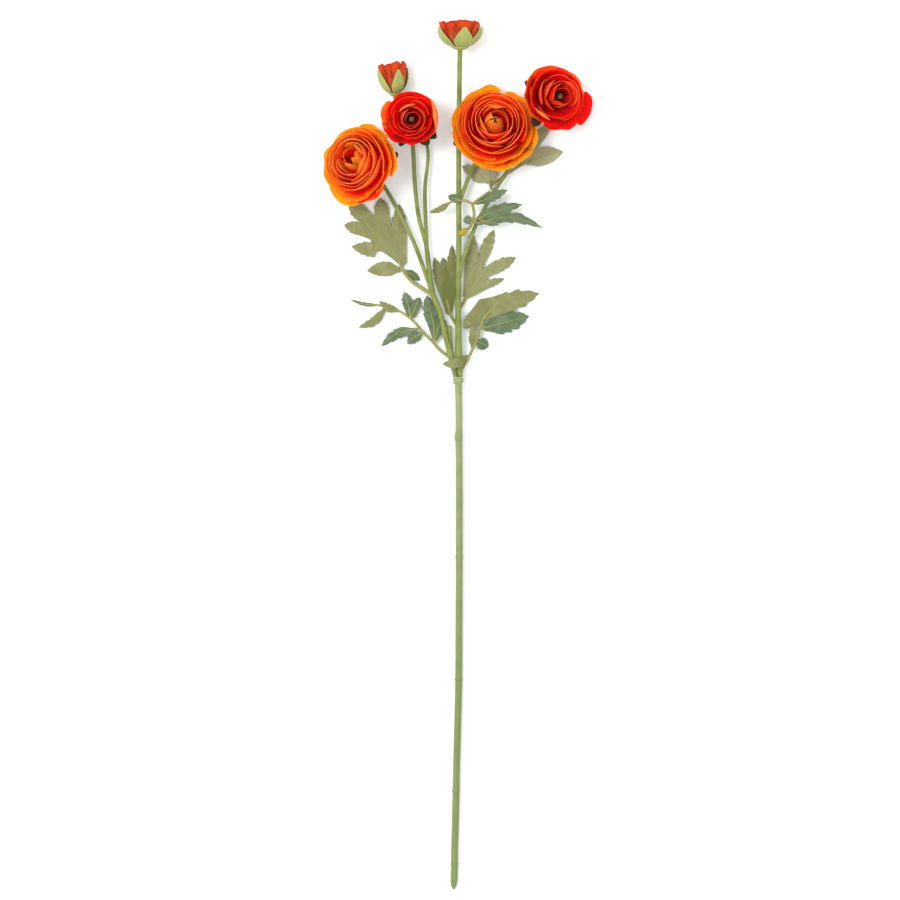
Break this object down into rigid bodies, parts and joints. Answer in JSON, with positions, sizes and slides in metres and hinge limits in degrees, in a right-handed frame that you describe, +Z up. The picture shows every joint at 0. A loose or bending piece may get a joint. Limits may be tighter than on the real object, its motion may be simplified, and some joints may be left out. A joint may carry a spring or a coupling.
{
  "type": "ranunculus flower spray",
  "caption": "Long-stemmed ranunculus spray with layered orange and red blooms, closed buds and cut leaves, lying down.",
  "frame": {"origin": "middle of the spray's box, on the surface that it lies on", "axes": "+Y along the stem from the cut end to the top bud, +X to the right in the picture, +Z up from the surface"},
  "size_m": [0.218, 0.6934, 0.0448],
  "materials": {
    "stem_green": "satin moulded plastic",
    "leaf_olive": "printed cloth, pale underside",
    "leaf_teal": "printed cloth, green upper side",
    "petal_orange": "dyed cloth, red to amber",
    "petal_red": "dyed cloth, red with pale rims",
    "petal_bud": "dyed cloth, coral red",
    "sepal_green": "moulded plastic, pale green",
    "sepal_dark": "moulded plastic, dark green",
    "eye_green": "flocked, beige green"
  },
  "bodies": {
    "root": {"main_stem": "stem_green", "branch_centre": "stem_green", "branch_left": "stem_green", "leaf_left_upper": "leaf_olive", "leaf_left_lower": "leaf_teal", "leaf_centre_left": "leaf_olive", "leaf_centre_right": "leaf_olive", "leaf_right_lower": "leaf_olive", "leaf_right_upper": "leaf_teal", "leaf_right_back": "leaf_teal", "bloom_orange_left_petals": "petal_orange", "bloom_orange_left_calyx": "sepal_dark", "bloom_orange_left_eye": "eye_green", "bloom_orange_right_petals": "petal_orange", "bloom_orange_right_calyx": "sepal_dark", "bloom_orange_right_eye": "eye_green", "bloom_red_small_petals": "petal_red", "bloom_red_small_calyx": "sepal_dark", "bloom_red_small_eye": "eye_green", "bloom_red_right_petals": "petal_red", "bloom_red_right_calyx": "sepal_dark", "bloom_red_right_eye": "eye_green", "bud_top_petals": "petal_bud", "bud_top_calyx": "sepal_green", "bud_side_petals": "petal_bud", "bud_side_calyx": "sepal_green"}
  },
  "joints": []
}
